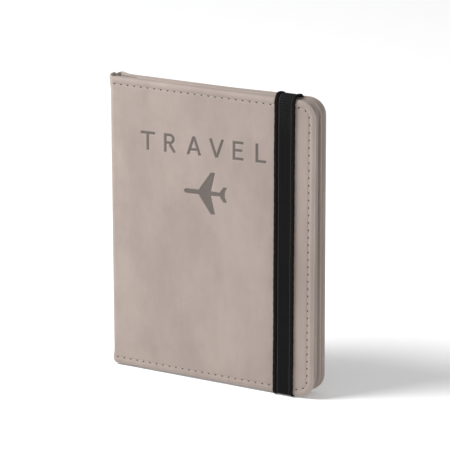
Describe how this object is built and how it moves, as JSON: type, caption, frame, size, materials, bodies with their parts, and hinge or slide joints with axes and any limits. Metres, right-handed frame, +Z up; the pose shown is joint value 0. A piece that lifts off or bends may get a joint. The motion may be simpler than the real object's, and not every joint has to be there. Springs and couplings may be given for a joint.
{
  "type": "passport holder wallet",
  "caption": "Closed booklet-style passport holder in soft leather, with a stitched edge, inner pockets, a folding spine and a woven elastic band that holds the front cover shut.",
  "frame": {"origin": "middle of the footprint, on the floor under the elastic band's bottom turn", "axes": "+Z up along the spine, -Y out of the front cover, +Y out of the back cover, -X at the spine, +X at the fore-edge"},
  "size_m": [0.107, 0.0122, 0.1436],
  "materials": {
    "outer_leather": "matte fine-grain coated leather",
    "pocket_leather": "matte thin coated leather",
    "lining": "fine plain-woven lining",
    "board": "grey bookbinding board",
    "thread": "polyester sewing thread",
    "elastic": "woven elastic with rolled selvedges"
  },
  "bodies": {
    "back": {"back_cover_skin": "outer_leather", "back_board": "board", "back_lining": "lining", "boarding_pass_pocket": "pocket_leather", "passport_sleeve": "pocket_leather", "back_seam_thread": "thread", "back_inner_seam_thread": "thread", "band_tail_top": "elastic", "band_tail_bottom": "elastic"},
    "spine": {"spine_skin": "outer_leather", "spine_lining": "lining"},
    "front": {"front_cover_skin": "outer_leather", "front_board": "board", "front_lining": "lining", "slip_pocket": "pocket_leather", "card_pocket_1": "pocket_leather", "card_pocket_2": "pocket_leather", "card_pocket_3": "pocket_leather", "front_seam_thread": "thread", "front_inner_seam_thread": "thread", "card_pocket_side_thread": "thread"},
    "band_turns": {"band_turn_top": "elastic", "band_turn_bottom": "elastic"},
    "band_run": {"band_front_run": "elastic"}
  },
  "joints": [
    {"name": "spine_fold", "type": "hinge", "parent": "back", "child": "spine", "pos_m": [-0.0535, 0.0061, 0], "axis": [0, 0, -1], "range_deg": [0, 90], "stiffness_Nm_per_rad": 0.008},
    {"name": "cover_fold", "type": "hinge", "parent": "spine", "child": "front", "pos_m": [-0.0535, -0.0053, 0], "axis": [0, 0, -1], "range_deg": [0, 90], "stiffness_Nm_per_rad": 0.008},
    {"name": "band_take_up", "type": "slide", "parent": "back", "child": "band_turns", "axis": [0, 1, 0], "range_m": [0, 0.006], "deforming": ["band_turn_top", "band_turn_bottom"]},
    {"name": "band_pull", "type": "slide", "parent": "band_turns", "child": "band_run", "axis": [0, -1, 0], "range_m": [0, 0.015], "stiffness_N_per_m": 60, "deforming": ["band_front_run"]}
  ],
  "couplings": [
    {"joint": "cover_fold", "follows": "spine_fold", "ratio": 1},
    {"joint": "band_take_up", "follows": "spine_fold", "m_per_rad": 0.00318}
  ]
}
